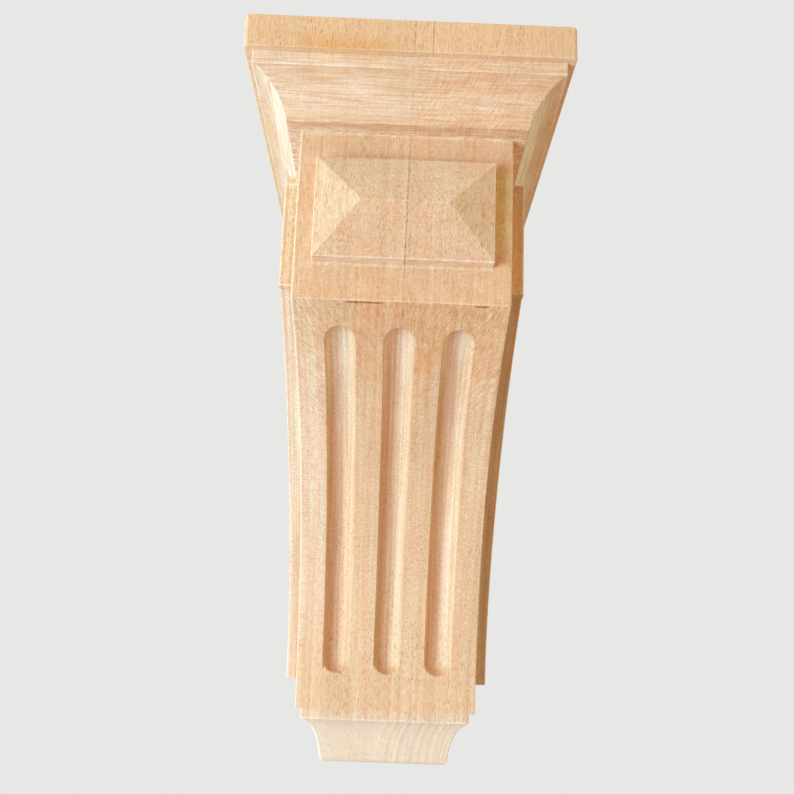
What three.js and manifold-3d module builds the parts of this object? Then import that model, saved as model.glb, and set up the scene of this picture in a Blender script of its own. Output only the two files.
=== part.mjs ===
// Mission style corbel: one carved and glued-up wooden blank.
// Millimetres. +Z is up, the front faces -Y and the back lies against the wall at Y = 0.
// The origin is the middle of the back face.

import * as THREE from "three";
import { mergeVertices } from "three/addons/utils/BufferGeometryUtils.js";
import Module from "manifold-3d";

// Cap board and the moulded crown below it
const capWidth = 152.4;
const capProjection = 254; // wall to the cap's front
const capThickness = 17;
const crownHeight = 25.4; // cap's underside to the soffit
const capOverhang = 3.8; // cap's edge beyond the fillet
const crownFilletHeight = 6.3;
const crownQuirk = 1.6; // small step from the fillet in to the cove
const crownCoveRun = 13.65; // how far the cove runs in to the soffit's edge
const crownCoveFullness = 0.5; // 0 is a straight chamfer, 1 bends as far as the inner corner

// Head block, the front of the core
const coreWidth = 101.6;
const headSetBack = 9.3; // head's face behind the soffit's front edge
const headHeight = 84.1;

// Raised panel on the head, with a hipped pyramid
const panelWidth = 84;
const panelHeight = 50;
const panelDrop = 16; // soffit to the panel's top
const panelThickness = 6.5;
const pyramidRise = 8;
const pyramidRidge = 40; // length of its ridge

// Swept body below the head
const bodyHeight = 188;
const bodyFootProjection = 82.6; // wall to the body's front at its lower end
const sweepTopAngle = 70; // degrees from upright, just below the head
const sweepFootAngle = 4; // degrees from upright, at the lower end
const sweepTopPull = 97; // how long the curve holds each of the two directions
const sweepFootPull = 89;

// Flutes down the sweep
const fluteCount = 3;
const flutePitch = 28.7;
const fluteWidth = 15.2;
const fluteDepth = 5.8;
const fluteTopMargin = 18; // along the sweep, body's end to the flute's end
const fluteTopStretch = 1.5; // the cut runs out gently at the top, so that end is longer than round
const fluteFootMargin = 20.5;

// Cheeks, the wider layer behind the core
const cheekWidth = 127; // over both cheeks
const cheekSetBack = 51.5; // behind the head's face
const cheekHeadHeight = 57;
const cheekStep = 5;
const cheekTailProjection = 13.5; // wall to the cheek's front at its lower end
const cheekRise = 15.5; // cheek's lower end above the body's lower end
const cheekTopAngle = 62;
const cheekTailAngle = 4.5;
const cheekPull = 78;

// Foot under the body: a fillet and a cove
const footRecess = 3.2; // fillet behind the body, front and sides
const footFilletHeight = 5.5;
const footCoveHeight = 23.7;
const footCoveRun = 11.2;
const footCoveFullness = 0.7;

// Fineness of the curves
const sweepSteps = 32;
const coveSteps = 10;
const fluteSteps = 28;
const fluteSides = 28;

// Levels, from the top down
const overallHeight = capThickness + crownHeight + headHeight + bodyHeight + footFilletHeight + footCoveHeight;
const topLevel = overallHeight / 2;
const capLevel = topLevel - capThickness;
const soffitLevel = capLevel - crownHeight;
const headLevel = soffitLevel - headHeight;
const bodyLevel = headLevel - bodyHeight;
const footFilletLevel = bodyLevel - footFilletHeight;
const footLevel = footFilletLevel - footCoveHeight;

// Projections from the wall
const filletInset = capOverhang;
const coveInset = filletInset + crownQuirk;
const soffitInset = coveInset + crownCoveRun;
const headProjection = capProjection - soffitInset - headSetBack;
const cheekProjection = headProjection - cheekSetBack;
const cheekHeadLevel = soffitLevel - cheekHeadHeight;
const cheekLevel = bodyLevel + cheekRise;

// How far each solid runs into its neighbour, so that joined solids share wood
const lap = 5;

const wasm = await Module();
wasm.setup();

function toSolid(geometry) {
  const bare = geometry.index ? geometry.toNonIndexed() : geometry.clone();
  bare.deleteAttribute("normal");
  bare.deleteAttribute("uv");
  const merged = mergeVertices(bare, 1e-4);
  return new wasm.Manifold(new wasm.Mesh({
    numProp: 3,
    vertProperties: new Float32Array(merged.attributes.position.array),
    triVerts: new Uint32Array(merged.index.array),
  }));
}

function toGeometry(solid) {
  const mesh = solid.getMesh();
  const geometry = new THREE.BufferGeometry();
  geometry.setAttribute("position", new THREE.BufferAttribute(new Float32Array(mesh.vertProperties), 3));
  geometry.setIndex(new THREE.BufferAttribute(new Uint32Array(mesh.triVerts), 1));
  geometry.computeVertexNormals();
  return geometry;
}

// A side profile in (Y, Z), made wide along X about the middle
function acrossWidth(shape, width) {
  const geometry = new THREE.ExtrudeGeometry(shape, { depth: width, bevelEnabled: false });
  geometry.translate(0, 0, -width / 2);
  geometry.applyMatrix4(new THREE.Matrix4().makeBasis(
    new THREE.Vector3(0, 1, 0),
    new THREE.Vector3(0, 0, 1),
    new THREE.Vector3(1, 0, 0),
  ));
  return toSolid(geometry);
}

// A front profile in (X, Z), carried out from the wall
function fromWall(shape, depth) {
  const geometry = new THREE.ExtrudeGeometry(shape, { depth, bevelEnabled: false });
  geometry.applyMatrix4(new THREE.Matrix4().makeBasis(
    new THREE.Vector3(1, 0, 0),
    new THREE.Vector3(0, 0, 1),
    new THREE.Vector3(0, -1, 0),
  ));
  return toSolid(geometry);
}

// A plan in (X, Y), raised from a level
function upright(shape, level, height) {
  const geometry = new THREE.ExtrudeGeometry(shape, { depth: height, bevelEnabled: false });
  geometry.translate(0, 0, level);
  return toSolid(geometry);
}

function polygon(points) {
  return new THREE.Shape(points.map(([across, up]) => new THREE.Vector2(across, up)));
}

// Points of a cove from its outer upper end to its inner lower end
function cove(from, to, fullness) {
  const start = new THREE.Vector2(...from);
  const end = new THREE.Vector2(...to);
  const middle = start.clone().add(end).multiplyScalar(0.5);
  const innerCorner = new THREE.Vector2(end.x, start.y);
  const bend = middle.lerp(innerCorner, fullness);
  return new THREE.QuadraticBezierCurve(start, bend, end).getPoints(coveSteps).map((p) => [p.x, p.y]);
}

// Overhang and level of each edge of the cap and crown, from the soffit up, measured in from the cap's edge
function crownEdge() {
  const filletLevel = capLevel - crownFilletHeight;
  return [
    ...cove([-coveInset, filletLevel], [-soffitInset, soffitLevel], crownCoveFullness).reverse(),
    [-filletInset, filletLevel],
    [-filletInset, capLevel],
    [0, capLevel],
    [0, topLevel],
  ];
}

// The same for the foot, from its lower end up, measured in from the body's edge
function footEdge() {
  const lowerInset = footRecess + footCoveRun;
  return [
    ...cove([-footRecess, footFilletLevel], [-lowerInset, footLevel], footCoveFullness).reverse(),
    [-footRecess, bodyLevel + lap],
  ];
}

// One edge profile run round the front and both sides, mitred at the corners
function mitred(edge, width, projection) {
  const side = edge.map(([out, level]) => [width / 2 + out, level]);
  const mirrored = side.map(([out, level]) => [-out, level]).reverse();
  const front = edge.map(([out, level]) => [-(projection + out), level]);
  const bottom = edge[0][1];
  const top = edge[edge.length - 1][1];
  const frontSolid = acrossWidth(polygon([...front.reverse(), [0, bottom], [0, top]]), width + lap);
  return fromWall(polygon([...side, ...mirrored]), projection + lap).intersect(frontSolid);
}

// A curve that leaves one point at an angle from upright and reaches another at a second angle
function sweep(from, fromAngle, fromPull, to, toAngle, toPull) {
  const heading = (degrees) => {
    const turn = THREE.MathUtils.degToRad(degrees);
    return new THREE.Vector2(Math.sin(turn), -Math.cos(turn));
  };
  return new THREE.CubicBezierCurve(
    from,
    from.clone().addScaledVector(heading(fromAngle), fromPull),
    to.clone().addScaledVector(heading(toAngle), -toPull),
    to,
  );
}

const bodySweep = sweep(
  new THREE.Vector2(-headProjection, headLevel), sweepTopAngle, sweepTopPull,
  new THREE.Vector2(-bodyFootProjection, bodyLevel), sweepFootAngle, sweepFootPull,
);

const cheekSweep = sweep(
  new THREE.Vector2(-cheekProjection + cheekStep, cheekHeadLevel), cheekTopAngle, cheekPull,
  new THREE.Vector2(-cheekTailProjection, cheekLevel), cheekTailAngle, cheekPull,
);

function makeCore() {
  return acrossWidth(polygon([
    [0, soffitLevel + lap],
    [-headProjection, soffitLevel + lap],
    ...bodySweep.getSpacedPoints(sweepSteps).map((p) => [p.x, p.y]),
    [0, bodyLevel],
  ]), coreWidth);
}

function makeCheeks() {
  return acrossWidth(polygon([
    [0, soffitLevel],
    [-cheekProjection, soffitLevel],
    [-cheekProjection, cheekHeadLevel],
    ...cheekSweep.getSpacedPoints(sweepSteps).map((p) => [p.x, p.y]),
    [0, cheekLevel],
  ]), cheekWidth);
}

// The panel's side view and its plan share the plinth; where they cross they make the four facets
function makePanel() {
  const face = -headProjection;
  const plinth = face - panelThickness;
  const peak = plinth - pyramidRise;
  const panelTop = soffitLevel - panelDrop;
  const panelBottom = panelTop - panelHeight;
  const sideView = polygon([
    [face + lap, panelTop],
    [plinth, panelTop],
    [peak, (panelTop + panelBottom) / 2],
    [plinth, panelBottom],
    [face + lap, panelBottom],
  ]);
  const plan = polygon([
    [-panelWidth / 2, face + lap],
    [-panelWidth / 2, plinth],
    [-pyramidRidge / 2, peak],
    [pyramidRidge / 2, peak],
    [panelWidth / 2, plinth],
    [panelWidth / 2, face + lap],
  ]);
  return acrossWidth(sideView, panelWidth).intersect(upright(plan, panelBottom, panelHeight));
}

// The line that the middle of a round cutter follows, at a set distance in front of the sweep
class CutterPath extends THREE.Curve {
  constructor(across, standOff) {
    super();
    this.across = across;
    this.standOff = standOff;
    this.first = (fluteTopMargin + fluteWidth / 2 * fluteTopStretch) / bodySweep.getLength();
    this.last = 1 - (fluteFootMargin + fluteWidth / 2) / bodySweep.getLength();
  }

  getPoint(share) {
    const along = THREE.MathUtils.lerp(this.first, this.last, share);
    const point = bodySweep.getPointAt(along);
    const heading = bodySweep.getTangentAt(along);
    return new THREE.Vector3(
      this.across,
      point.x + heading.y * this.standOff,
      point.y - heading.x * this.standOff,
    );
  }
}

// A round-nosed cut: a bent round bar with a ball at its foot end and a longer, egg-like one at the top
function makeFlute(across) {
  const radius = (fluteWidth ** 2 / 4 + fluteDepth ** 2) / (2 * fluteDepth);
  const path = new CutterPath(across, radius - fluteDepth);
  const section = new THREE.Shape().absarc(0, 0, radius, 0, 2 * Math.PI);
  const bar = new THREE.ExtrudeGeometry(section, {
    steps: fluteSteps,
    curveSegments: fluteSides,
    extrudePath: path,
  });
  return [fluteTopStretch, 1].reduce((cutter, stretch, end) => {
    const ball = new THREE.SphereGeometry(radius, fluteSides, fluteSides / 2);
    const turn = new THREE.Quaternion().setFromUnitVectors(new THREE.Vector3(0, 1, 0), path.getTangentAt(end));
    ball.scale(1, stretch, 1);
    ball.applyQuaternion(turn);
    ball.translate(...path.getPointAt(end));
    return cutter.add(toSolid(ball));
  }, toSolid(bar));
}

function makeCorbel() {
  const crown = mitred(crownEdge(), capWidth, capProjection);
  const foot = mitred(footEdge(), coreWidth, bodyFootProjection);
  const blank = [makeCheeks(), makePanel(), crown, foot].reduce((whole, part) => whole.add(part), makeCore());
  const middle = (fluteCount - 1) / 2;
  return Array.from({ length: fluteCount }, (_, index) => (index - middle) * flutePitch)
    .reduce((whole, across) => whole.subtract(makeFlute(across)), blank);
}

const beech = new THREE.MeshStandardMaterial({ color: 0xe6c49c, roughness: 0.7, metalness: 0 });
const corbel = new THREE.Mesh(toGeometry(makeCorbel()), beech);
corbel.name = "corbel";

const model = new THREE.Group();
model.add(corbel);

export default model;
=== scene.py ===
import math

import bpy
import bmesh
from mathutils import Matrix, Vector
from mathutils.geometry import interpolate_bezier


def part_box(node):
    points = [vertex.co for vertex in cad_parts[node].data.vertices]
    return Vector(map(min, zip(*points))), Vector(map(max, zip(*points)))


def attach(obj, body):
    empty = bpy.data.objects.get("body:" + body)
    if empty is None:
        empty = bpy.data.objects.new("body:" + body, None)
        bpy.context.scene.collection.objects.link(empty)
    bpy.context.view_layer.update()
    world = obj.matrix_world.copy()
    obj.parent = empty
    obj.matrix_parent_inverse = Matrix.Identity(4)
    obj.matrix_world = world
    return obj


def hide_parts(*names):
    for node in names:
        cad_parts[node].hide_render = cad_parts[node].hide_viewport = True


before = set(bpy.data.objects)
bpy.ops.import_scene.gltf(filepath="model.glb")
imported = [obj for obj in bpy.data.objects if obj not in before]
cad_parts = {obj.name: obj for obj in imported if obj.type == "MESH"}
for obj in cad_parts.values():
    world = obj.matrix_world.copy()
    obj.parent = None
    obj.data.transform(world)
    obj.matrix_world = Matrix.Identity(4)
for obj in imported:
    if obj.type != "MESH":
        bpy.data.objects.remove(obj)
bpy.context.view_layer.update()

millimetre = 0.001

# camera, standing in front of the foot and looking slightly up
cameraSetup = {
    "place": (-0.00133, -0.6350, -0.11896),  # metres, from the middle of the back
    "tiltUp": 12.33,  # degrees
    "turnRight": 0.41,
    "roll": 2.11,
    "focalPixels": 949.0,
    "axisX": 398.7,  # where the optical axis meets the picture
    "axisY": 461.3,
    "pictureWidth": 794.0,
}


def makeCamera(setup):
    data = bpy.data.cameras.new("frontCamera")
    data.sensor_width = 36.0
    data.lens = setup["focalPixels"] / setup["pictureWidth"] * data.sensor_width
    middle = setup["pictureWidth"] / 2
    data.shift_x = (middle - setup["axisX"]) / setup["pictureWidth"]
    data.shift_y = (setup["axisY"] - middle) / setup["pictureWidth"]
    camera = bpy.data.objects.new("frontCamera", data)
    bpy.context.collection.objects.link(camera)
    tilt = math.radians(setup["tiltUp"])
    turn = math.radians(setup["turnRight"])
    roll = math.radians(setup["roll"])
    forward = Vector((math.sin(turn) * math.cos(tilt), math.cos(turn) * math.cos(tilt), math.sin(tilt)))
    right = Vector((math.cos(turn), -math.sin(turn), 0.0))
    up = right.cross(forward)
    rolledRight = math.cos(roll) * right + math.sin(roll) * up
    rolledUp = -math.sin(roll) * right + math.cos(roll) * up
    axes = Matrix((rolledRight, rolledUp, -forward)).transposed().to_4x4()
    camera.matrix_world = Matrix.Translation(Vector(setup["place"])) @ axes
    bpy.context.scene.camera = camera
    return camera


makeCamera(cameraSetup)
print("camera placed")

# the corbel's forms, in millimetres; its length, width and height come from the frame
lowCorner, highCorner = (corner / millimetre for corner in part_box("corbel"))

cap = {
    "thickness": 17.0,
    "cornerEase": 2.0,  # radius of the eased upper edge and upright corners
}

crown = {
    "height": 25.4,  # cap's underside to the soffit
    "overhang": 3.8,
    "filletHeight": 6.3,
    "quirk": 1.6,
    "coveRun": 13.65,
    "coveFullness": 0.5,
    "coveSteps": 14,
    "ease": 0.55,
}

core = {
    "width": 101.6,
    "headSetBack": 9.3,
    "headHeight": 84.1,
    "bodyHeight": 188.0,
    "footProjection": 82.6,
    "topAngle": 70.0,  # degrees from upright
    "footAngle": 4.0,
    "topPull": 97.0,
    "footPull": 89.0,
    "ease": 0.8,
    "headEase": 0.45,
}

flutes = {
    "count": 3,
    "pitch": 28.7,
    "width": 15.2,
    "depth": 5.8,
    "topMargin": 18.0,
    "footMargin": 20.5,
    "topStretch": 1.5,  # the cutter lifts out gently at the top, so that end is longer than round
    "arrisEase": 0.5,
}

panel = {
    "width": 84.0,
    "height": 50.0,
    "drop": 16.0,  # soffit to the panel's top
    "thickness": 6.5,
    "rise": 8.0,
    "ridge": 40.0,
    "ease": 0.4,
    "hipEase": 0.5,
    "hipAngle": 10.0,  # degrees from flat past which an edge is eased, as the hips are blunt
}

cheeks = {
    "width": 127.0,
    "setBack": 51.5,
    "headHeight": 57.0,
    "step": 5.0,
    "tailProjection": 13.5,
    "rise": 15.5,
    "topAngle": 62.0,
    "tailAngle": 4.5,
    "pull": 78.0,
    "ease": 0.8,
}

foot = {
    "recess": 3.2,
    "filletHeight": 5.5,
    "coveRun": 11.2,
    "coveFullness": 0.7,
    "coveSteps": 14,
    "ease": 0.8,
    "lowerRound": 2.4,  # radius of its rounded lower edge
    "roundTurns": (0, 22, 45, 68),  # degrees round that edge, up to the cove
}

lap = 5.0  # how far each form runs into its neighbour before they are joined
fineGrid = 0.45  # spacing of the mesh over the flutes
coarseGrid = 2.2
headGrid = 12.0
cheekPoints = 40  # points on the cheeks' sweep
sweepPoints = 600  # points on the front's sweep, from which rows of the mesh are measured off
weldDistance = 0.004
smoothAngle = 34.0  # degrees, past which an edge is kept sharp

topLevel = highCorner.z
capLevel = topLevel - cap["thickness"]
soffitLevel = capLevel - crown["height"]
headLevel = soffitLevel - core["headHeight"]
bodyLevel = headLevel - core["bodyHeight"]
footLevel = lowCorner.z
capProjection = -lowCorner.y
capHalf = highCorner.x
soffitInset = crown["overhang"] + crown["quirk"] + crown["coveRun"]
headProjection = capProjection - soffitInset - core["headSetBack"]


def bezier(start, startHandle, endHandle, end, count):
    return interpolate_bezier(Vector(start), Vector(startHandle), Vector(endHandle), Vector(end), count)


# outset and level of a cove, from its upper outer end to its lower inner end
def coveLine(start, end, fullness, steps):
    start = Vector((*start, 0))
    end = Vector((*end, 0))
    innerCorner = Vector((end.x, start.y, 0))
    bend = ((start + end) / 2).lerp(innerCorner, fullness)
    handles = [point.lerp(bend, 2 / 3) for point in (start, end)]
    return [(point.x, point.y) for point in bezier(start, *handles, end, steps + 1)]


# a sweep in the side view, as points of projection and level
def sweepLine(start, startAngle, startPull, end, endAngle, endPull, count):
    def heading(degrees):
        return Vector((-math.sin(math.radians(degrees)), -math.cos(math.radians(degrees)), 0))

    start = Vector((*start, 0))
    end = Vector((*end, 0))
    startHandle = start + heading(startAngle) * startPull
    endHandle = end - heading(endAngle) * endPull
    return bezier(start, startHandle, endHandle, end, count)


# a block with its back on the wall, raised ring by ring; a ring is half width, projection, level
def raiseBlock(rings):
    block = bmesh.new()
    bmesh.ops.create_grid(block, x_segments=1, y_segments=1, size=1)

    def place(corners, ring):
        half, projection, level = ring
        for corner in corners:
            front = corner.co.y < -1e-6
            corner.co = (math.copysign(half, corner.co.x), -projection if front else 0.0, level)

    top = block.faces[:][0]
    place(top.verts, rings[0])
    for index, ring in enumerate(rings[1:]):
        made = bmesh.ops.extrude_face_region(block, geom=[top])["geom"]
        if index:  # the first face stays as the underside, later ones would be inside
            bmesh.ops.delete(block, geom=[top], context="FACES_ONLY")
        top = next(item for item in made if isinstance(item, bmesh.types.BMFace))
        place(top.verts, ring)
    bmesh.ops.recalc_face_normals(block, faces=block.faces[:])
    return block


# rounds the sharp outer edges that the test picks, and marks the new faces as eased arrises, which the
# wood's color makes paler
def easeEdges(block, radius, picked=lambda edge: True, sharper=28.0, segments=3):
    block.normal_update()
    easedArris = block.faces.layers.float.get("easedArris") or block.faces.layers.float.new("easedArris")
    edges = [
        edge for edge in block.edges
        if edge.is_manifold and edge.is_convex
        and edge.calc_face_angle() > math.radians(sharper)
        and not all(abs(corner.co.y) < 1e-4 for corner in edge.verts)
        and picked(edge)
    ]
    made = bmesh.ops.bevel(
        block, geom=edges, offset=radius, offset_type="OFFSET", segments=segments,
        profile=0.5, affect="EDGES", material=-1, clamp_overlap=True,
    )
    for face in made["faces"]:
        face[easedArris] = 1.0


def middleOf(edge):
    return (edge.verts[0].co + edge.verts[1].co) / 2


def makeCrown():
    filletInset = crown["overhang"]
    coveInset = filletInset + crown["quirk"]
    filletLevel = capLevel - crown["filletHeight"]
    cove = coveLine(
        (-coveInset, filletLevel), (-soffitInset, soffitLevel), crown["coveFullness"], crown["coveSteps"],
    )
    line = list(reversed(cove)) + [
        (-filletInset, filletLevel), (-filletInset, capLevel), (0, capLevel), (0, topLevel),
    ]
    block = raiseBlock([(capHalf + out, capProjection + out, level) for out, level in line])
    easeEdges(block, cap["cornerEase"], lambda edge: middleOf(edge).z > capLevel + 1)
    easeEdges(block, crown["ease"], lambda edge: middleOf(edge).z < capLevel + 1)
    return block


def makeFoot():
    half = core["width"] / 2
    filletLevel = bodyLevel - foot["filletHeight"]
    lowerInset = foot["recess"] + foot["coveRun"]
    cove = coveLine(
        (-foot["recess"], filletLevel), (-lowerInset, footLevel), foot["coveFullness"], foot["coveSteps"],
    )
    radius = foot["lowerRound"]
    line = []
    for degrees in foot["roundTurns"]:
        turn = math.radians(degrees)
        line.append((-lowerInset - radius * (1 - math.sin(turn)), footLevel + radius * (1 - math.cos(turn))))
    line += [point for point in reversed(cove) if point[1] > footLevel + radius * 0.9]
    line += [(-foot["recess"], bodyLevel + lap)]
    block = raiseBlock([(half + out, core["footProjection"] + out, level) for out, level in line])
    easeEdges(block, foot["ease"])
    return block


def makeCheeks():
    projection = headProjection - cheeks["setBack"]
    headBottom = soffitLevel - cheeks["headHeight"]
    tail = bodyLevel + cheeks["rise"]
    sweep = sweepLine(
        (projection - cheeks["step"], headBottom), cheeks["topAngle"], cheeks["pull"],
        (cheeks["tailProjection"], tail), cheeks["tailAngle"], cheeks["pull"], cheekPoints,
    )
    half = cheeks["width"] / 2
    rings = [(half, point.x, point.y) for point in reversed(sweep)]
    rings += [(half, projection, headBottom), (half, projection, soffitLevel + lap)]
    block = raiseBlock(rings)
    easeEdges(block, cheeks["ease"])
    return block


def makePanel():
    face = headProjection - lap
    top = soffitLevel - panel["drop"]
    middle = top - panel["height"] / 2
    block = bmesh.new()
    bmesh.ops.create_cube(block, size=1)
    size = (panel["width"], panel["thickness"] + lap, panel["height"])
    bmesh.ops.scale(block, vec=size, verts=block.verts)
    plinth = headProjection + panel["thickness"]
    bmesh.ops.translate(block, vec=(0, -(face + plinth) / 2, middle), verts=block.verts)
    front = min(block.faces, key=lambda side: side.calc_center_median().y)
    made = bmesh.ops.extrude_face_region(block, geom=[front])["geom"]
    bmesh.ops.delete(block, geom=[front], context="FACES_ONLY")
    for corner in (item for item in made if isinstance(item, bmesh.types.BMVert)):
        corner.co = (math.copysign(panel["ridge"] / 2, corner.co.x), -plinth - panel["rise"], middle)
    bmesh.ops.remove_doubles(block, verts=block.verts, dist=1e-4)
    bmesh.ops.recalc_face_normals(block, faces=block.faces[:])
    blunt = panel["hipAngle"]
    easeEdges(block, panel["ease"], lambda edge: -plinth - 0.1 < middleOf(edge).y < -face - 0.1, blunt)
    easeEdges(block, panel["hipEase"], lambda edge: middleOf(edge).y < -plinth - 0.6, blunt)
    return block


# the front of the core seen as one line from the foot up: the sweep, then the upright head
bodySweep = list(reversed(sweepLine(
    (headProjection, headLevel), core["topAngle"], core["topPull"],
    (core["footProjection"], bodyLevel), core["footAngle"], core["footPull"], sweepPoints,
)))
sweepMarks = [0.0]
for before, after in zip(bodySweep, bodySweep[1:]):
    sweepMarks.append(sweepMarks[-1] + (after - before).length)
sweepLength = sweepMarks[-1]


# projection, level and inward direction at a distance along that line
def frontAt(distance):
    if distance > sweepLength - 1e-6:
        return headProjection, headLevel + distance - sweepLength, Vector((-1, 0))
    index = min(range(1, len(sweepMarks)), key=lambda i: sweepMarks[i] < distance)
    share = (distance - sweepMarks[index - 1]) / (sweepMarks[index] - sweepMarks[index - 1])
    place = bodySweep[index - 1].lerp(bodySweep[index], share)
    along = (bodySweep[index] - bodySweep[index - 1]).normalized()
    return place.x, place.y, Vector((-along.y, along.x))


# depth of the nearest flute at a place across and along the front
def fluteDepth(across, distance):
    radius = (flutes["width"] ** 2 / 4 + flutes["depth"] ** 2) / (2 * flutes["depth"])
    half = flutes["width"] / 2
    low = flutes["footMargin"] + half
    high = sweepLength - flutes["topMargin"] - half * flutes["topStretch"]
    middle = (flutes["count"] - 1) / 2
    off = min(abs(across - (index - middle) * flutes["pitch"]) for index in range(flutes["count"]))
    past = max(low - distance, (distance - high) / flutes["topStretch"], 0.0)
    reach = math.hypot(off, past)
    if reach >= radius:
        return 0.0
    cut = math.sqrt(radius ** 2 - reach ** 2) - (radius - flutes["depth"])
    blend = max(flutes["arrisEase"] - abs(cut), 0.0) / flutes["arrisEase"]
    return max(cut, 0.0) + blend ** 2 * flutes["arrisEase"] / 4


# places from stop to stop, each stretch with its own spacing
def spread(stops, steps):
    places = []
    for start, end, step in zip(stops, stops[1:], steps):
        count = max(1, math.ceil((end - start) / step))
        places += [start + (end - start) * index / count for index in range(count)]
    return places + [stops[-1]]


def makeCore():
    half = core["width"] / 2
    reach = flutes["width"] / 2 + 1.0
    middle = (flutes["count"] - 1) / 2
    centres = [(index - middle) * flutes["pitch"] for index in range(flutes["count"])]
    sideStops = [-half] + [stop for centre in centres for stop in (centre - reach, centre + reach)] + [half]
    columns = spread(sideStops, [coarseGrid, fineGrid] * flutes["count"] + [coarseGrid])
    low = flutes["footMargin"] - 1.0
    high = sweepLength - flutes["topMargin"] + 1.0
    headTop = sweepLength + soffitLevel + lap - headLevel
    rows = spread(
        [0.0, low, low + reach, high - reach * flutes["topStretch"], high, sweepLength, headTop],
        [coarseGrid, fineGrid, coarseGrid, fineGrid, coarseGrid, headGrid],
    )
    block = bmesh.new()
    bmesh.ops.create_grid(block, x_segments=len(columns) - 1, y_segments=len(rows) - 1, size=1)
    profile = [frontAt(distance) for distance in rows]
    depths = {}
    for corner in block.verts:
        column = round((corner.co.x + 1) / 2 * (len(columns) - 1))
        row = round((corner.co.y + 1) / 2 * (len(rows) - 1))
        across = columns[column]
        projection, level, inward = profile[row]
        depth = fluteDepth(across, rows[row]) if rows[row] < sweepLength else 0.0
        depths[corner] = depth
        corner.co = (across, -(projection + inward.x * depth), level + inward.y * depth)
    carved = block.faces.layers.float.new("carved")  # depth in a flute, from 0 to 1, for the wood's color
    for face in block.faces:
        face[carved] = sum(depths[corner] for corner in face.verts) / len(face.verts) / flutes["depth"]
    rim = [edge for edge in block.edges if edge.is_boundary]
    made = bmesh.ops.extrude_edge_only(block, edges=rim)["geom"]
    for corner in (item for item in made if isinstance(item, bmesh.types.BMVert)):
        corner.co.y = 0.0
    bmesh.ops.holes_fill(block, edges=[edge for edge in block.edges if edge.is_boundary], sides=0)
    bmesh.ops.recalc_face_normals(block, faces=block.faces[:])

    def onSide(edge):
        return all(abs(abs(corner.co.x) - half) < 1e-3 for corner in edge.verts)

    def onHeadEdge(edge):
        return all(abs(corner.co.z - headLevel) < 1e-3 for corner in edge.verts)

    def onLowerEdge(edge):
        return all(abs(corner.co.z - bodyLevel) < 1e-3 for corner in edge.verts)

    easeEdges(block, core["ease"], lambda edge: onSide(edge) and not onHeadEdge(edge))
    easeEdges(block, core["headEase"], lambda edge: onHeadEdge(edge) or onLowerEdge(edge))
    return block


def toObject(block, name):
    mesh = bpy.data.meshes.new(name)
    block.to_mesh(mesh)
    block.free()
    made = bpy.data.objects.new(name, mesh)
    bpy.context.collection.objects.link(made)
    return made


# joins the forms into one closed skin, as one blank of wood
def joinForms(base, others):
    for other in others:
        join = base.modifiers.new(other.name, "BOOLEAN")
        join.operation = "UNION"
        join.solver = "MANIFOLD"
        join.object = other
    graph = bpy.context.evaluated_depsgraph_get()
    joined = bpy.data.meshes.new_from_object(base.evaluated_get(graph), depsgraph=graph)
    for old in [base, *others]:
        bpy.data.objects.remove(old)
    return joined


def makeCorbel():
    base = toObject(makeCore(), "core")
    makers = {"cheeks": makeCheeks, "panel": makePanel, "crown": makeCrown, "foot": makeFoot}
    others = [toObject(make(), name) for name, make in makers.items()]
    for part in [base, *others]:
        print("  ", part.name, len(part.data.polygons), "faces")
    joined = joinForms(base, others)
    skin = bmesh.new()
    skin.from_mesh(joined)
    bmesh.ops.remove_doubles(skin, verts=skin.verts, dist=weldDistance)
    bmesh.ops.dissolve_degenerate(skin, edges=skin.edges, dist=weldDistance)
    bmesh.ops.scale(skin, vec=(millimetre,) * 3, verts=skin.verts)
    for face in skin.faces:
        face.smooth = True
    for edge in skin.edges:
        edge.smooth = edge.is_manifold and edge.calc_face_angle() < math.radians(smoothAngle)
    print("   edges left open:", sum(1 for edge in skin.edges if not edge.is_manifold))
    piece = toObject(skin, "carvedCorbel")
    evenNormals = piece.modifiers.new("evenNormals", "WEIGHTED_NORMAL")
    evenNormals.mode = "FACE_AREA"
    evenNormals.weight = 60
    evenNormals.keep_sharp = True
    return piece


corbel = makeCorbel()
corbel.data.calc_loop_triangles()
print("corbel joined:", len(corbel.data.loop_triangles), "triangles")


# shorthands for shader nodes: an input is a plain value or another node's output
def addNode(tree, kind, inputs, **settings):
    node = tree.nodes.new("ShaderNode" + kind)
    for name, value in settings.items():
        setattr(node, name, value)
    for socket, value in inputs.items():
        if isinstance(value, bpy.types.NodeSocket):
            tree.links.new(value, node.inputs[socket])
        else:
            node.inputs[socket].default_value = value
    return node


def calc(tree, operation, first, second=0.0, third=0.0):
    return addNode(tree, "Math", {0: first, 1: second, 2: third}, operation=operation).outputs[0]


# eases from one value to another as the input passes from low to high
def remap(tree, value, low, high, toLow=0.0, toHigh=1.0):
    return addNode(
        tree, "MapRange",
        {"Value": value, "From Min": low, "From Max": high, "To Min": toLow, "To Max": toHigh},
        interpolation_type="SMOOTHSTEP",
    ).outputs["Result"]


def fall(tree, value, low, high):
    return remap(tree, value, low, high, 1.0, 0.0)


# 1 between two values, with soft ends
def between(tree, value, low, high, soft=0.4):
    above = remap(tree, value, low - soft, low + soft)
    return calc(tree, "MULTIPLY", above, fall(tree, value, high - soft, high + soft))


def times(tree, *masks):
    product = masks[0]
    for mask in masks[1:]:
        product = calc(tree, "MULTIPLY", product, mask)
    return product


def outside(tree, mask):
    return calc(tree, "SUBTRACT", 1.0, mask)


def multiply(tree, share, color, tone):
    return addNode(
        tree, "Mix", {0: share, 6: color, 7: tone}, data_type="RGBA", blend_type="MULTIPLY",
    ).outputs[2]


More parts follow.
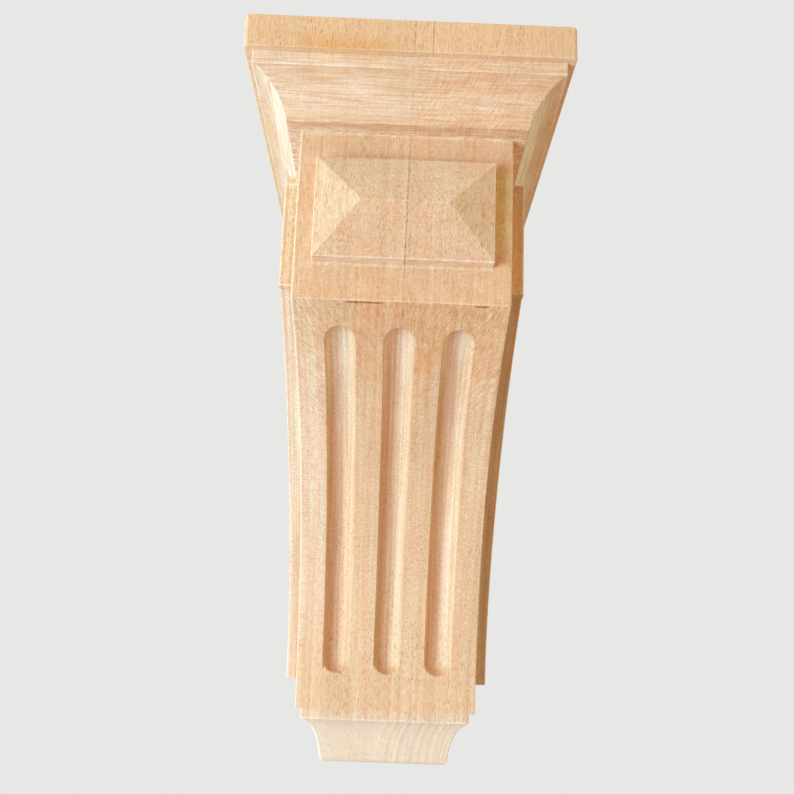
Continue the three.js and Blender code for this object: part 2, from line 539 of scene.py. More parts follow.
# patterns of noise: size of a blob in millimetres, detail, roughness, shift, turn in degrees
patterns = {
    "patches": ((17, 45, 150), 2.0, 0.5, 0.0, 0.0),
    "frontRings": ((2.4, 70, 260), 3.0, 0.62, 0.0, 0.0),
    "sideRings": ((70, 3.12, 260), 3.0, 0.62, 9.0, 0.0),
    "pinkness": ((5.5, 50, 90), 2.0, 0.5, 31.0, 0.0),
    "fibres": ((0.7, 0.7, 6.0), 3.0, 0.7, 4.0, 0.0),
    "pores": ((0.6, 0.6, 3.0), 1.0, 0.5, 12.0, 0.0),
    "poreCrowds": ((13, 20, 40), 2.0, 0.5, 52.0, 0.0),
    "speckle": ((0.75, 0.75, 0.85), 3.0, 0.7, 3.0, 0.0),
    "frontCuts": ((22, 0.85, 0.85), 3.0, 0.65, 7.0, 0.0),
    "sideCuts": ((0.85, 22, 0.85), 3.0, 0.65, 7.0, 0.0),
    "tornCrown": ((15, 15, 2.2), 3.0, 0.6, 18.0, 0.0),
    "crownRed": ((20, 20, 5), 2.0, 0.5, 83.0, 0.0),
    "crossStrokes": ((0.8, 7, 1), 2.0, 0.6, 5.0, 38.0),
    "grooves": ((2.4, 70, 2.4), 2.0, 0.55, 87.0, 0.0),
    "capBlotches": ((14, 14, 8), 3.0, 0.6, 40.0, 0.0),
    "soffitBands": ((9, 1.3, 9), 3.0, 0.65, 44.0, 0.0),
    "soffitFlakes": ((3.5, 1.0, 0.8), 3.0, 0.65, 64.0, 0.0),
    "panelFlakes": ((6, 1.5, 0.9), 3.0, 0.65, 47.0, 0.0),
    "nap": ((3.2, 3.2, 0.65), 3.0, 0.65, 57.0, 0.0),
    "headPatches": ((22, 9, 8), 2.0, 0.5, 77.0, 0.0),
    "sanding": ((0.75, 10, 1), 3.0, 0.62, 6.0, 0.0),
    "underHead": ((17, 14, 11), 2.0, 0.5, 71.0, 0.0),
    "fluteLines": ((1.2, 90, 90), 3.0, 0.6, 33.0, 0.0),
    "scratches": ((9, 0.6, 0.6), 2.0, 0.5, 27.0, 0.0),
    "footArcs": ((2.3, 1, 1), 2.0, 0.5, 2.0, 0.0),
    "footRays": ((0.9, 5, 1), 2.0, 0.6, 9.0, -52.0),
    "glueDashes": ((40, 40, 3.5), 2.0, 0.6, 15.0, 0.0),
    "rubbing": ((5, 5, 5), 2.0, 0.6, 91.0, 0.0),
    "splitGaps": ((5, 5, 5), 2.0, 0.5, 61.0, 0.0),
}

# what a pattern multiplies the wood's color by, where it is darkest and where it is lightest
patternTones = {
    "rings": ((0.94, 0.885, 0.825), (1.04, 1.07, 1.11)),
    "pinkness": ((1.01, 0.955, 0.945), (1.0, 1.03, 1.02)),
    "fibres": ((0.92, 0.87, 0.82), (1.05, 1.08, 1.11)),
    "speckle": ((0.925, 0.90, 0.87), (1.05, 1.07, 1.09)),
    "cuts": ((0.90, 0.825, 0.75), (1.05, 1.095, 1.145)),
    "crossStrokes": ((0.92, 0.86, 0.805), (1.04, 1.065, 1.10)),
    "grooves": ((0.91, 0.84, 0.77), (1.03, 1.07, 1.11)),
    "soffitBands": ((0.93, 0.85, 0.79), (1.03, 1.06, 1.09)),
    "nap": ((0.95, 0.915, 0.88), (1.03, 1.045, 1.06)),
    "cheekRings": ((0.95, 0.91, 0.87), (1.03, 1.05, 1.08)),
    "sanding": ((0.885, 0.795, 0.70), (1.055, 1.105, 1.15)),
    "fluteLines": ((0.91, 0.865, 0.82), (1.035, 1.065, 1.095)),
    "footArcs": ((0.91, 0.885, 0.86), (1.035, 1.035, 1.04)),
    "footRays": ((0.955, 0.94, 0.915), (1.03, 1.035, 1.045)),
}

# what a form or a mark multiplies the wood's color by; some of these stand in for light and shade, as
# painted light and painted shade
tones = {
    "pores": (0.76, 0.63, 0.47),
    "tornCrown": (1.03, 1.11, 1.24),
    "paintedLightCrownLeft": (1.03, 1.11, 1.21),
    "crownRed": (0.96, 0.84, 0.74),
    "fillet": (1.05, 1.10, 1.14),
    "crownFoot": (0.985, 0.925, 0.86),
    "paintedLightLeftCove": (1.03, 1.08, 1.16),
    "leftCoveFoot": (1.01, 1.04, 1.08),
    "paintedShadeCoveTail": (0.80, 0.86, 0.90),
    "paintedShadeCoveTailFoot": (0.74, 0.72, 0.72),
    "capPatch": (0.955, 0.80, 0.56),
    "cap": (1.0, 0.985, 0.93),
    "capStrip": (1.015, 1.035, 1.07),
    "soffitFlakes": (1.10, 1.28, 1.52),
    "headTopFlakes": (1.07, 1.20, 1.38),
    "paintedLightTopFacet": (0.99, 1.12, 1.30),
    "paintedLightLowFacet": (0.975, 0.985, 1.05),
    "paintedShadeRightFacet": (0.99, 1.11, 1.23),
    "paintedLightLeftFacet": (1.0, 1.10, 1.165),
    "panelUnderside": (1.025, 1.06, 1.11),
    "panelFlakes": (1.09, 1.25, 1.46),
    "head": (0.995, 0.985, 0.975),
    "headPatches": (0.98, 0.91, 0.82),
    "panelShadowTint": (1.0, 1.26, 1.02),
    "paintedLightLeftCheek": (0.985, 1.01, 1.03),
    "paintedLightLeftCheekSweep": (1.01, 1.08, 1.22),
    "paintedLightLeftCheekHigh": (1.03, 1.11, 1.20),
    "paintedShadeRightCheek": (1.04, 1.17, 1.20),
    "paintedShadeRightCheekSweep": (0.79, 0.83, 0.88),
    "paintedLightRightSide": (1.15, 0.99, 0.94),
    "body": (1.0, 1.01, 1.02),
    "bodyLeft": (1.05, 1.13, 1.25),
    "underHead": (0.985, 0.83, 0.65),
    "paleSides": (1.085, 1.175, 1.235),
    "scratches": (0.84, 0.74, 0.64),
    "paintedLightFluteFloor": (1.05, 1.12, 1.19),
    "paintedLightFluteFloorTop": (1.03, 1.10, 1.18),
    "fluteFuzzAndLight": (1.065, 1.17, 1.27),
    "paintedShadeWall": (0.965, 0.90, 0.84),
    "paintedLightShadedWallTop": (1.09, 1.19, 1.28),
    "paintedShadeLitWallTop": (0.92, 0.895, 0.87),
    "footFillet": (1.06, 1.18, 1.34),
    "foot": (1.01, 1.225, 1.49),
    "glueLine": (0.58, 0.46, 0.36),
    "capGlueLine": (0.66, 0.58, 0.48),
    "wornArrisAndHighlight": (1.07, 1.17, 1.29),
    "split": (0.50, 0.36, 0.24),
    "mark": (0.60, 0.44, 0.33),
}

# small dark marks: across, level, half width, half height, strength
marks = [
    (23.6, -6.5, 0.6, 0.4, 0.8),
    (-5.6, -12.0, 0.35, 1.0, 0.7),
    (-5.4, -20.0, 0.35, 0.8, 0.6),
    (-26.2, -122.3, 0.8, 0.6, 0.7),
    (-35.8, -118.8, 0.5, 1.2, 0.8),
    (9.5, -88.0, 0.35, 0.8, 0.5),
]

beech = {
    "base": (0.77, 0.53, 0.33),
    "patchDark": 0.975,
    "patchLight": 1.02,
    "jointAt": 0.4,  # main glue line, at the middle level
    "jointLean": 0.009,  # and how far it moves to the right for each millimetre up
    "jointWidth": 0.2,
    "stripEnd": 10.3,  # second glue line, on the cap
    "strokeMeet": 155.0,  # how far below the head the sanding strokes would meet
    "arcBend": -0.012,  # how the year rings on the foot curve
    "specular": 0.35,
    "bump": 0.55,
    "bumpDistance": 0.12,
}


# noise in a named pattern
def streaks(tree, place, name):
    size, detail, roughness, shift, turn = patterns[name]
    turned = addNode(tree, "Mapping", {
        "Vector": place, "Rotation": (0.0, 0.0, math.radians(turn)), "Location": (shift, shift, shift),
    }).outputs[0]
    scale = [1 / length for length in size]
    mapped = addNode(tree, "Mapping", {"Vector": turned, "Scale": scale}).outputs[0]
    return addNode(
        tree, "TexNoise", {"Vector": mapped, "Scale": 1.0, "Detail": detail, "Roughness": roughness},
    ).outputs[0]


# a named tone where all the masks meet
def shade(tree, color, name, *masks):
    return multiply(tree, times(tree, *masks), color, (*tones[name], 1.0))


# darkens and lightens a color to both sides of a pattern's middle
def vary(tree, color, pattern, name, low=0.3, high=0.7, share=1.0):
    dark, light = patternTones[name]
    tone = addNode(
        tree, "Mix", {0: remap(tree, pattern, low, high), 6: (*dark, 1.0), 7: (*light, 1.0)},
        data_type="RGBA",
    ).outputs[2]
    return multiply(tree, share, color, tone)


def readAttribute(tree, name):
    return addNode(tree, "Attribute", {}, attribute_name=name, attribute_type="GEOMETRY").outputs["Fac"]


# one pattern on the front faces and another on the sides
def bySide(tree, forms, frontPattern, sidePattern):
    place = forms["place"]
    both = {2: streaks(tree, place, frontPattern), 3: streaks(tree, place, sidePattern)}
    return addNode(tree, "Mix", {0: forms["sideways"], **both}, data_type="FLOAT").outputs[0]


# where each form is: places in millimetres, and masks from 0 to 1
def findForms(tree):
    coordinates = addNode(tree, "TexCoord", {})
    place = addNode(
        tree, "VectorMath", {0: coordinates.outputs["Object"], "Scale": 1 / millimetre}, operation="SCALE",
    ).outputs[0]
    across, outward, level = addNode(tree, "SeparateXYZ", {0: place}).outputs
    facingX, facingY, facingZ = addNode(tree, "SeparateXYZ", {0: coordinates.outputs["Normal"]}).outputs
    apart = calc(tree, "ABSOLUTE", across)
    coreHalf = core["width"] / 2
    filletLevel = capLevel - crown["filletHeight"]
    coveTop = bodyLevel - foot["filletHeight"]
    onHead = between(tree, level, headLevel, soffitLevel - 0.4, 0.3)
    withinCore = fall(tree, apart, coreHalf - 0.5, coreHalf - 0.2)
    pastCore = remap(tree, apart, coreHalf + 0.2, coreHalf + 0.5)
    masks = {
        "onCap": remap(tree, level, capLevel - 0.2, capLevel + 0.2),
        "onFillet": between(tree, level, filletLevel, capLevel, 0.2),
        "onCrown": between(tree, level, soffitLevel - 0.1, capLevel, 0.15),
        "onTop": remap(tree, level, soffitLevel - 0.2, soffitLevel),
        "onHead": onHead,
        "onPanel": times(tree, onHead, fall(tree, outward, -headProjection - 1.0, -headProjection - 0.6)),
        "onBody": times(tree, between(tree, level, bodyLevel, headLevel, 0.3), withinCore),
        "onCheek": times(tree, pastCore, fall(tree, level, soffitLevel - 0.3, soffitLevel)),
        "onFootFillet": between(tree, level, coveTop, bodyLevel, 0.2),
        "onFoot": fall(tree, level, coveTop - 0.3, coveTop + 0.3),
    }
    front = fall(tree, facingY, 0.4, 0.7)  # the back is plain sawn wood
    forms = {name: times(tree, mask, front) for name, mask in masks.items()}
    forms["front"] = front
    forms["left"] = fall(tree, across, -1, 1)
    forms["right"] = outside(tree, forms["left"])
    forms["sideways"] = times(
        tree, remap(tree, calc(tree, "ABSOLUTE", facingX), 0.3, 0.75),
        remap(tree, apart, coreHalf - 1.2, coreHalf - 0.4),
    )
    forms["carved"] = readAttribute(tree, "carved")
    forms["place"] = place
    forms["across"] = across
    forms["outward"] = outward
    forms["level"] = level
    forms["apart"] = apart
    forms["facingX"] = facingX
    forms["facingZ"] = facingZ
    return forms


# year rings as upright bands, fibres, short dark pores and a fine mottle
def growGrain(tree, forms, setup):
    place, onBody = forms["place"], forms["onBody"]
    color = addNode(tree, "Mix", {
        0: remap(tree, streaks(tree, place, "patches"), 0.35, 0.65),
        6: (*[part * setup["patchDark"] for part in setup["base"]], 1.0),
        7: (*[part * setup["patchLight"] for part in setup["base"]], 1.0),
    }, data_type="RGBA").outputs[2]
    rings = bySide(tree, forms, "frontRings", "sideRings")
    moulded = calc(tree, "MAXIMUM", forms["onTop"], forms["onFoot"])
    calm = calc(tree, "MAXIMUM", moulded, times(tree, forms["onHead"], 0.45))
    ringShare = remap(tree, calm, 0.0, 1.0, 1.0, 0.3)  # the moulded ends show them least
    color = vary(tree, color, rings, "rings", share=ringShare)
    color = vary(tree, color, streaks(tree, place, "pinkness"), "pinkness", 0.35, 0.6, ringShare)

    fibres = streaks(tree, place, "fibres")
    fine = calc(tree, "MAXIMUM", forms["onCrown"], forms["onFoot"])
    fineShare = remap(tree, fine, 0.0, 1.0, 1.0, 0.45)
    color = vary(tree, color, fibres, "fibres", 0.32, 0.68, fineShare)
    crowded = remap(tree, streaks(tree, place, "poreCrowds"), 0.35, 0.65, 0.35, 1.0)
    fewer = times(tree, forms["onCap"], remap(tree, forms["across"], 5, 30), -0.15)
    pores = remap(tree, streaks(tree, place, "pores"), 0.55, 0.69)
    pores = times(tree, pores, calc(tree, "ADD", crowded, fewer), fineShare)
    color = shade(tree, color, "pores", pores, 0.8)
    smooth = calc(tree, "MAXIMUM", forms["onFoot"], times(tree, onBody, forms["carved"]))
    lowBody = times(tree, onBody, remap(tree, forms["level"], -100, -20, 0.6, 0.0))
    smooth = calc(tree, "MAXIMUM", smooth, lowBody)
    speckleShare = remap(tree, smooth, 0.0, 1.0, 1.0, 0.4)
    color = vary(tree, color, streaks(tree, place, "speckle"), "speckle", share=speckleShare)
    return color, rings, fibres, pores


# marks of the moulding cutter along the crown, torn fibres, and painted light on its left
def markCrown(tree, forms, color, cuts):
    place, across, level, onCrown = forms["place"], forms["across"], forms["level"], forms["onCrown"]
    filletLevel = capLevel - crown["filletHeight"]
    color = vary(tree, color, cuts, "cuts", 0.34, 0.64, onCrown)
    torn = remap(tree, streaks(tree, place, "tornCrown"), 0.46, 0.68)
    color = shade(tree, color, "tornCrown", torn, onCrown, 0.65)
    # painted light: the crown is made paler and cooler towards the left, where the light falls on it
    color = shade(tree, color, "paintedLightCrownLeft", onCrown, fall(tree, across, -55, 30))
    reddish = remap(tree, streaks(tree, place, "crownRed"), 0.42, 0.62)
    upper = remap(tree, level, soffitLevel + 12, filletLevel - 1.5, 0.2, 1.0)
    upper = times(tree, upper, remap(tree, level, filletLevel - 0.3, filletLevel, 1.0, 0.3))
    color = shade(tree, color, "crownRed", reddish, onCrown, upper, 0.85)
    slanted = addNode(tree, "CombineXYZ", {0: across, 1: level}).outputs[0]
    crossPart = times(tree, onCrown, between(tree, across, 0, 60, 12), 0.9)
    color = vary(tree, color, streaks(tree, slanted, "crossStrokes"), "crossStrokes", 0.36, 0.62, crossPart)
    color = shade(tree, color, "fillet", forms["onFillet"])
    lowPart = times(tree, onCrown, fall(tree, level, soffitLevel + 1, soffitLevel + 7))
    return shade(tree, color, "crownFoot", lowPart, outside(tree, forms["sideways"]))


# the crown's side coves are grooved along; the left one gets painted light, and the right one painted shade
# that deepens towards the wall
def markSideCoves(tree, forms, color, cuts):
    level = forms["level"]
    sideCoves = times(tree, forms["onCrown"], forms["sideways"])
    color = vary(tree, color, streaks(tree, forms["place"], "grooves"), "grooves", 0.38, 0.6, sideCoves)
    # painted light on the left side cove, where the light falls
    paintedLightLeftCove = times(tree, sideCoves, forms["left"])
    color = shade(tree, color, "paintedLightLeftCove", paintedLightLeftCove)
    coveFoot = fall(tree, level, soffitLevel + 3, soffitLevel + 13)
    color = shade(tree, color, "leftCoveFoot", paintedLightLeftCove, coveFoot, remap(tree, cuts, 0.35, 0.6))
    # painted shade on the right side cove, deepening towards the wall and towards the soffit
    tail = times(tree, forms["onTop"], forms["sideways"], forms["right"])
    tail = times(tree, tail, remap(tree, forms["outward"], -165, -80))
    color = shade(tree, color, "paintedShadeCoveTail", tail)
    return shade(tree, color, "paintedShadeCoveTailFoot", tail, fall(tree, level, soffitLevel + 4, soffitLevel + 18))


# the cap's left board has a brown patch, and a paler strip stands between its glue lines
def markCap(tree, forms, color, setup):
    across, level, onCap = forms["across"], forms["level"], forms["onCap"]
    leftBoard = fall(tree, across, 0.9, 1.9)
    patch = times(tree, fall(tree, level, capLevel, capLevel + 11), between(tree, across, -58, -6, 14))
    blotches = remap(tree, streaks(tree, forms["place"], "capBlotches"), 0.30, 0.55, 0.35, 1.0)
    color = shade(tree, color, "capPatch", onCap, leftBoard, patch, blotches)
    color = shade(tree, color, "cap", onCap)
    return shade(tree, color, "capStrip", onCap, between(tree, across, 1.8, setup["stripEnd"], 0.1))


# the soffit is streaked, with torn pale fibres where it meets the head
def markSoffit(tree, forms, color):
    place, level = forms["place"], forms["level"]
    under = times(tree, between(tree, level, soffitLevel - 0.3, soffitLevel + 0.4, 0.15), forms["onTop"])
    color = vary(tree, color, streaks(tree, place, "soffitBands"), "soffitBands", 0.38, 0.62, under)
    flakes = remap(tree, streaks(tree, place, "soffitFlakes"), 0.44, 0.54)
    byHead = remap(tree, forms["outward"], -headProjection - 4.5, -headProjection - 1.5)
    color = shade(tree, color, "soffitFlakes", under, byHead, flakes)
    headTop = between(tree, level, soffitLevel - 1.3, soffitLevel, 0.3)
    return shade(tree, color, "headTopFlakes", headTop, forms["front"], flakes)


# the panel's facets get painted light and shade by the way each faces, and pale fibres are torn below it
def markPanel(tree, forms, color):
    level, facingX, facingZ, onPanel = forms["level"], forms["facingX"], forms["facingZ"], forms["onPanel"]
    # painted light and shade: each facet is tinted for the light that falls on it
    color = shade(tree, color, "paintedLightTopFacet", onPanel, remap(tree, facingZ, 0.12, 0.25))
    color = shade(tree, color, "paintedLightLowFacet", onPanel, between(tree, facingZ, -0.6, -0.18, 0.05))
    color = shade(tree, color, "paintedShadeRightFacet", onPanel, remap(tree, facingX, 0.15, 0.3))
    color = shade(tree, color, "paintedLightLeftFacet", onPanel, fall(tree, facingX, -0.3, -0.15))
    color = shade(tree, color, "panelUnderside", onPanel, fall(tree, facingZ, -0.9, -0.7))
    panelFoot = soffitLevel - panel["drop"] - panel["height"]
    below = between(tree, level, panelFoot - 1.6, panelFoot + 0.6, 0.15)
    underPanel = fall(tree, forms["apart"], panel["width"] / 2 - 0.5, panel["width"] / 2 + 0.5)
    flakes = remap(tree, streaks(tree, forms["place"], "panelFlakes"), 0.36, 0.56, 0.2, 1.0)
    return shade(tree, color, "panelFlakes", below, underPanel, flakes, forms["front"])


# the head is browner in patches, and the panel's cast shadow beside it gets a painted yellowish tint; all
# below the crown has a short nap
def markHead(tree, forms, color):
    place, level, onHead = forms["place"], forms["level"], forms["onHead"]
    sanded = times(tree, outside(tree, forms["onTop"]), forms["front"])
    napShare = times(
        tree, sanded, remap(tree, level, -100, 0, 0.35, 0.8),
        remap(tree, forms["carved"], 0.0, 1.0, 1.0, 0.4),
    )
    color = vary(tree, color, streaks(tree, place, "nap"), "nap", 0.36, 0.62, napShare)
    color = shade(tree, color, "head", onHead)
    patches = remap(tree, streaks(tree, place, "headPatches"), 0.4, 0.62)
    color = shade(tree, color, "headPatches", patches, onHead, 0.7)
    panelTop = soffitLevel - panel["drop"]
    # painted shade: the tint of the panel's cast shadow, on the head to the panel's right
    strip = between(tree, forms["across"], panel["width"] / 2 + 0.4, core["width"] / 2 - 1.4, 0.5)
    beside = between(tree, level, panelTop - panel["height"] + 9, panelTop - 2, 5)
    return shade(tree, color, "panelShadowTint", onHead, strip, beside)


# the cheeks' fronts get painted light on the left and painted shade on the right, and the right-facing sides
# a painted tint that offsets the light's colour there
def markCheeks(tree, forms, color, rings):
    level, left, right = forms["level"], forms["left"], forms["right"]
    front = times(tree, forms["onCheek"], outside(tree, forms["sideways"]))
    stepLevel = soffitLevel - cheeks["headHeight"]
    belowStep = fall(tree, level, stepLevel, stepLevel + 0.6)
    # painted light on the left cheek's front, palest on its sweep
    color = shade(tree, color, "paintedLightLeftCheek", front, left)
    color = shade(tree, color, "paintedLightLeftCheekSweep", front, left, belowStep)
    color = shade(tree, color, "paintedLightLeftCheekHigh", front, left, belowStep, remap(tree, level, -70, 20))
    color = vary(tree, color, rings, "cheekRings", 0.36, 0.62, forms["onCheek"])
    # painted light: a warm tint on the right-facing sides that offsets the greenish light from the right
    sanded = times(tree, outside(tree, forms["onTop"]), forms["front"])
    color = shade(tree, color, "paintedLightRightSide", forms["sideways"], sanded, right)
    # painted shade on the right cheek's front, darker on its sweep
    color = shade(tree, color, "paintedShadeRightCheek", front, right)
    return shade(tree, color, "paintedShadeRightCheekSweep", front, right, belowStep)


# the body is palest on its left, and sanding strokes fan out below the head
def markBody(tree, forms, color, setup):
    place, across, level, onBody = forms["place"], forms["across"], forms["level"], forms["onBody"]
    color = shade(tree, color, "body", onBody)
    leftEdge = times(tree, onBody, fall(tree, across, -41, -26), remap(tree, level, 44, 20))
    color = shade(tree, color, "bodyLeft", leftEdge, remap(tree, level, -130, -70))

    run = calc(tree, "SUBTRACT", forms["outward"], level)
    down = calc(tree, "ADD", run, headProjection + headLevel)
    meet = setup["strokeMeet"]
    narrowed = calc(tree, "SUBTRACT", meet, calc(tree, "MINIMUM", down, meet * 0.7))
    fan = times(tree, calc(tree, "SUBTRACT", across, 2.0), calc(tree, "DIVIDE", meet, narrowed))
    strokes = streaks(tree, addNode(tree, "CombineXYZ", {0: fan, 1: run}).outputs[0], "sanding")
    onLand = remap(tree, forms["carved"], 0.0, 0.3, 1.0, 0.35)
    underHead = times(tree, onBody, remap(tree, level, -45, 24), onLand)
    color = vary(tree, color, strokes, "sanding", 0.34, 0.64, underHead)
    warm = remap(tree, streaks(tree, place, "underHead"), 0.30, 0.68, 0.15, 1.0)
    warm = times(tree, warm, onBody, remap(tree, level, 12, 32), remap(tree, across, -42, -8, 0.15, 1.0))
    color = shade(tree, color, "underHead", warm, remap(tree, strokes, 0.66, 0.38, 0.55, 1.0), onLand)
    sides = calc(tree, "MAXIMUM", remap(tree, across, 24, 44), fall(tree, across, -44, -26))
    lightStrokes = remap(tree, strokes, 0.4, 0.62, 0.35, 1.0)
    color = shade(tree, color, "paleSides", onBody, sides, remap(tree, level, -60, 0), lightStrokes)
    scratches = remap(tree, streaks(tree, place, "scratches"), 0.62, 0.72)
    return shade(tree, color, "scratches", scratches, onBody, 0.45), strokes, underHead


# the flutes' pinkish floors are painted lighter, their tops get whitish fuzz that is partly painted light,
# their walls get painted shade and light, and lines run along them
def markFlutes(tree, forms, color):
    level, carved, facingX, onBody = forms["level"], forms["carved"], forms["facingX"], forms["onBody"]
    fluteTop = frontAt(sweepLength - flutes["topMargin"])[1]
    # painted light: the flute floors are made paler, more so near the top
    floorPart = times(tree, onBody, remap(tree, carved, 0.45, 0.95))
    color = shade(tree, color, "paintedLightFluteFloor", floorPart)
    color = shade(tree, color, "paintedLightFluteFloorTop", floorPart, remap(tree, level, fluteTop - 45, fluteTop - 8))
    # whitish fuzz at the flute tops, partly real end-grain fuzz and partly painted light bounced up from
    # below
    fuzzAndLightPart = times(tree, onBody, remap(tree, carved, 0.04, 0.35))
    color = shade(tree, color, "fluteFuzzAndLight", fuzzAndLightPart, remap(tree, level, fluteTop - 20, fluteTop + 2))
    # painted shade on the right-facing walls, which the light does not reach; near the top it is eased, and
    # the lit walls get painted shade
    walls = times(tree, onBody, remap(tree, carved, 0.03, 0.3))
    nearTop = remap(tree, level, fluteTop - 40, fluteTop - 4)
    paintedShadeWall = times(tree, walls, remap(tree, facingX, 0.1, 0.6))
    color = shade(tree, color, "paintedShadeWall", paintedShadeWall)
    color = shade(tree, color, "paintedLightShadedWallTop", paintedShadeWall, nearTop)
    color = shade(tree, color, "paintedShadeLitWallTop", walls, nearTop, fall(tree, facingX, -0.45, 0.05))
    inFlute = times(tree, onBody, remap(tree, carved, 0.02, 0.15))
    lines = streaks(tree, forms["place"], "fluteLines")
    return vary(tree, color, lines, "fluteLines", 0.36, 0.62, inFlute)


# end grain of the foot: paler, with the year rings as arcs on its right half
def markFoot(tree, forms, color, setup):
    across, level, onFoot = forms["across"], forms["level"], forms["onFoot"]
    color = shade(tree, color, "footFillet", forms["onFootFillet"])
    color = shade(tree, color, "foot", onFoot)
    height = calc(tree, "SUBTRACT", level, footLevel)
    arcs = calc(tree, "MULTIPLY_ADD", calc(tree, "MULTIPLY", height, height), setup["arcBend"], across)
    arcRings = streaks(tree, addNode(tree, "CombineXYZ", {0: arcs}).outputs[0], "footArcs")
    arcPart = times(tree, onFoot, remap(tree, across, -8, 6))
    color = vary(tree, color, arcRings, "footArcs", 0.35, 0.6, arcPart)
    slanted = addNode(tree, "CombineXYZ", {0: across, 1: level}).outputs[0]
    rayPart = times(tree, onFoot, remap(tree, across, -6, 4, 0.8, 0.2))
    return vary(tree, color, streaks(tree, slanted, "footRays"), "footRays", 0.36, 0.62, rayPart)


def drawGlueLines(tree, forms, color, setup):
    across, level, onCap = forms["across"], forms["level"], forms["onCap"]
    joint = calc(tree, "MULTIPLY_ADD", level, setup["jointLean"], setup["jointAt"])
    offJoint = calc(tree, "ABSOLUTE", calc(tree, "SUBTRACT", across, joint))
    dashes = remap(tree, streaks(tree, forms["place"], "glueDashes"), 0.35, 0.6, 0.35, 1.0)
    width = setup["jointWidth"]
    strength = times(tree, forms["onBody"], remap(tree, level, 5, 45, 0.05, 0.35))
    for name, share in (("onHead", 0.5), ("onPanel", 0.4), ("onCap", 0.7), ("onCrown", 0.15)):
        strength = calc(tree, "MULTIPLY_ADD", forms[name], share, strength)
    color = shade(tree, color, "glueLine", fall(tree, offJoint, width, width * 2.4), dashes, strength)
    offStrip = calc(tree, "ABSOLUTE", calc(tree, "SUBTRACT", across, setup["stripEnd"]))
    return shade(tree, color, "capGlueLine", fall(tree, offStrip, 0.15, 0.45), onCap, 0.8)


# worn arrises are paler, and the eased arrises also carry a painted highlight; the head's lower one is split
# dark in two places
def wearEdges(tree, forms, color):
    place, across, level = forms["place"], forms["across"], forms["level"]
    plinth = -headProjection - panel["thickness"]
    rubbedAndHighlit = remap(tree, streaks(tree, place, "rubbing"), 0.3, 0.55, 0.45, 1.0)
    offHips = remap(tree, forms["outward"], plinth - 1.4, plinth - 0.6, 0.6, 1.0)
    atSoffit = between(tree, level, soffitLevel - 0.2, soffitLevel + 0.8, 0.1)
    rubbedAndHighlit = times(tree, rubbedAndHighlit, offHips, outside(tree, times(tree, atSoffit, forms["onTop"])))
    # wear and painted highlight on the eased arrises
    color = shade(tree, color, "wornArrisAndHighlight", readAttribute(tree, "easedArris"), rubbedAndHighlit)
    atHeadEdge = between(tree, level, headLevel - 0.7, headLevel - 0.3, 0.12)
    stretches = calc(tree, "MAXIMUM", between(tree, across, -25, -9, 2), between(tree, across, 34, 41, 1))
    gaps = remap(tree, streaks(tree, place, "splitGaps"), 0.28, 0.42)
    color = shade(tree, color, "split", atHeadEdge, stretches, gaps, forms["front"])
    for markAcross, markLevel, halfWidth, halfHeight, strength in marks:
        wide = times(tree, calc(tree, "SUBTRACT", across, markAcross), 1 / halfWidth)
        high = times(tree, calc(tree, "SUBTRACT", level, markLevel), 1 / halfHeight)
        reach = calc(tree, "ADD", times(tree, wide, wide), times(tree, high, high))
        color = shade(tree, color, "mark", remap(tree, reach, 0.3, 1.6, strength, 0.0), forms["onBody"])
    return color


def makeBeech(setup):
    material = bpy.data.materials.new("beech")
    material.use_nodes = True
    tree = material.node_tree
    shader = tree.nodes["Principled BSDF"]
    forms = findForms(tree)
    color, rings, fibres, pores = growGrain(tree, forms, setup)
    cuts = bySide(tree, forms, "frontCuts", "sideCuts")
    color = markCrown(tree, forms, color, cuts)
    color = markSideCoves(tree, forms, color, cuts)
    color = markCap(tree, forms, color, setup)
    color = markSoffit(tree, forms, color)
    color = markPanel(tree, forms, color)
    color = markHead(tree, forms, color)
    color = markCheeks(tree, forms, color, rings)
    color, strokes, underHead = markBody(tree, forms, color, setup)
    color = markFlutes(tree, forms, color)
    color = markFoot(tree, forms, color, setup)
    color = drawGlueLines(tree, forms, color, setup)
    color = wearEdges(tree, forms, color)

    tree.links.new(color, shader.inputs["Base Color"])
    tree.links.new(remap(tree, rings, 0.3, 0.7, 0.70, 0.60), shader.inputs["Roughness"])
    shader.inputs["Specular IOR Level"].default_value = setup["specular"]
    relief = calc(tree, "MULTIPLY_ADD", pores, -1.2, fibres)
    relief = calc(tree, "MULTIPLY_ADD", times(tree, cuts, forms["onCrown"]), 1.4, relief)
    relief = calc(tree, "MULTIPLY_ADD", times(tree, strokes, underHead), 1.0, relief)
    bump = addNode(tree, "Bump", {
        "Height": relief, "Strength": setup["bump"], "Distance": setup["bumpDistance"] * millimetre,
    })
    tree.links.new(bump.outputs[0], shader.inputs["Normal"])
    return material


wood = makeBeech(beech)
print("beech material:", len(wood.node_tree.nodes), "nodes")
corbel.data.materials.append(wood)
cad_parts["corbel"].material_slots[0].material = wood
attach(corbel, "root")
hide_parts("corbel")

# soft light of a studio: a window low on the left, a warm bounce all round
studio = {
    "windowTarget": (0.0, -0.2, 0.05),
    "windowAzimuth": 52.0,  # degrees to the left of the front
    "windowBelow": 20.0,
    "windowDistance": 1.5,
    "windowSize": 1.1,
    "windowPower": 31.0,
    "windowColor": (0.62, 0.925, 1.06),
    "fromLeft": (0.39, 1.08, 1.32),
    "fromRight": (0.51, 1.29, 1.02),
    "fromAbove": (0.91, 1.05, 0.58),
    "fromBehind": (0.25, 0.75, 0.70),
    "even": (0.485, 0.065, 0.022),
    "backdrop": (0.80, 0.80, 0.79),
    "floorColor": (0.72, 0.71, 0.69),
    "floorLevel": -1.05,
    "floorSize": 11.2,
}


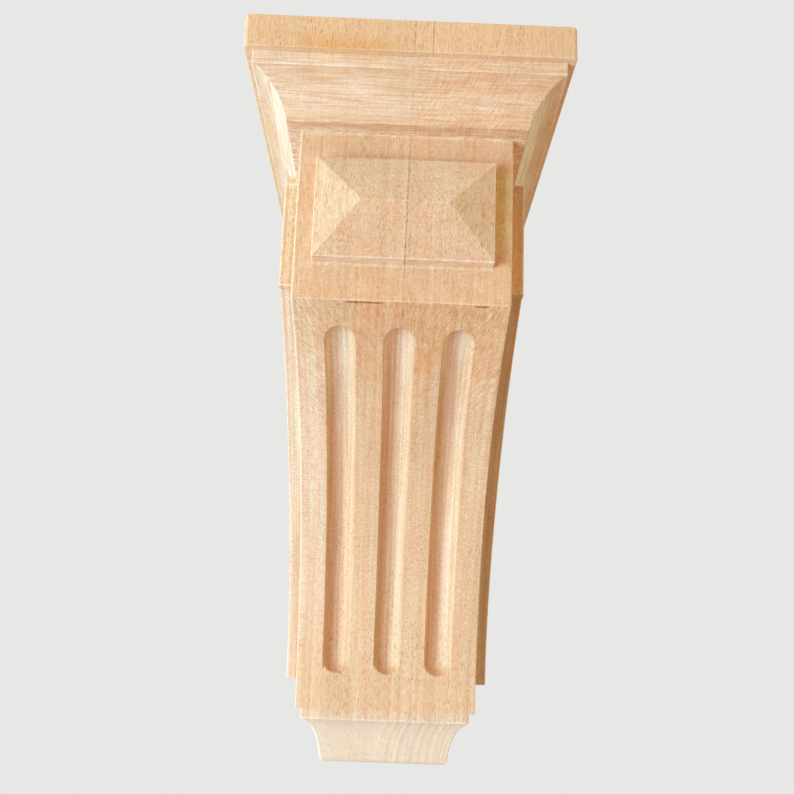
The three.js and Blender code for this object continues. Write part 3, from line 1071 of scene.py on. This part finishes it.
def makeWindow(setup):
    target = Vector(setup["windowTarget"])
    azimuth = math.radians(setup["windowAzimuth"])
    below = math.radians(setup["windowBelow"])
    flat = math.cos(below)
    direction = Vector((-math.sin(azimuth) * flat, -math.cos(azimuth) * flat, -math.sin(below)))
    data = bpy.data.lights.new("window", "AREA")
    data.shape = "DISK"
    data.size = setup["windowSize"]
    data.energy = setup["windowPower"]
    data.color = setup["windowColor"]
    light = bpy.data.objects.new("window", data)
    bpy.context.collection.objects.link(light)
    light.matrix_world = Matrix.Translation(target + direction * setup["windowDistance"]) @ (
        direction.to_track_quat("Z", "Y").to_matrix().to_4x4()
    )
    return light


# light from each side fades with the square of the direction; the camera sees a plain backdrop
def makeWorld(setup):
    world = bpy.data.worlds.new("studio")
    world.use_nodes = True
    tree = world.node_tree
    direction = addNode(tree, "TexCoord", {}).outputs["Generated"]
    light = addNode(tree, "CombineXYZ", dict(enumerate(setup["even"]))).outputs[0]
    axes = {"fromLeft": (-1, 0, 0), "fromRight": (1, 0, 0), "fromAbove": (0, 0, 1), "fromBehind": (0, 1, 0)}
    for side, axis in axes.items():
        toward = addNode(tree, "VectorMath", {0: direction, 1: axis}, operation="DOT_PRODUCT")
        fade = calc(tree, "POWER", calc(tree, "MAXIMUM", toward.outputs["Value"], 0.0), 2.0)
        glow = addNode(tree, "VectorMath", {0: setup[side], "Scale": fade}, operation="SCALE").outputs[0]
        light = addNode(tree, "VectorMath", {0: light, 1: glow}, operation="ADD").outputs[0]
    seen = addNode(tree, "LightPath", {}).outputs["Is Camera Ray"]
    backdrop = (*setup["backdrop"], 1.0)
    color = addNode(tree, "Mix", {0: seen, 6: light, 7: backdrop}, data_type="RGBA").outputs[2]
    tree.links.new(color, tree.nodes["Background"].inputs["Color"])
    bpy.context.scene.world = world


def makeFloor(setup):
    plane = bmesh.new()
    bmesh.ops.create_grid(plane, x_segments=1, y_segments=1, size=setup["floorSize"] / 2)
    bmesh.ops.translate(plane, vec=(0, 0, setup["floorLevel"]), verts=plane.verts)
    floor = toObject(plane, "floor")
    paper = bpy.data.materials.new("paleFloor")
    paper.use_nodes = True
    shader = paper.node_tree.nodes["Principled BSDF"]
    shader.inputs["Base Color"].default_value = (*setup["floorColor"], 1)
    shader.inputs["Roughness"].default_value = 0.8
    floor.data.materials.append(paper)
    floor.visible_diffuse = False  # it throws no light up at the corbel


makeWindow(studio)
makeWorld(studio)
makeFloor(studio)
bpy.context.scene.view_settings.view_transform = "Standard"
print("studio lit")
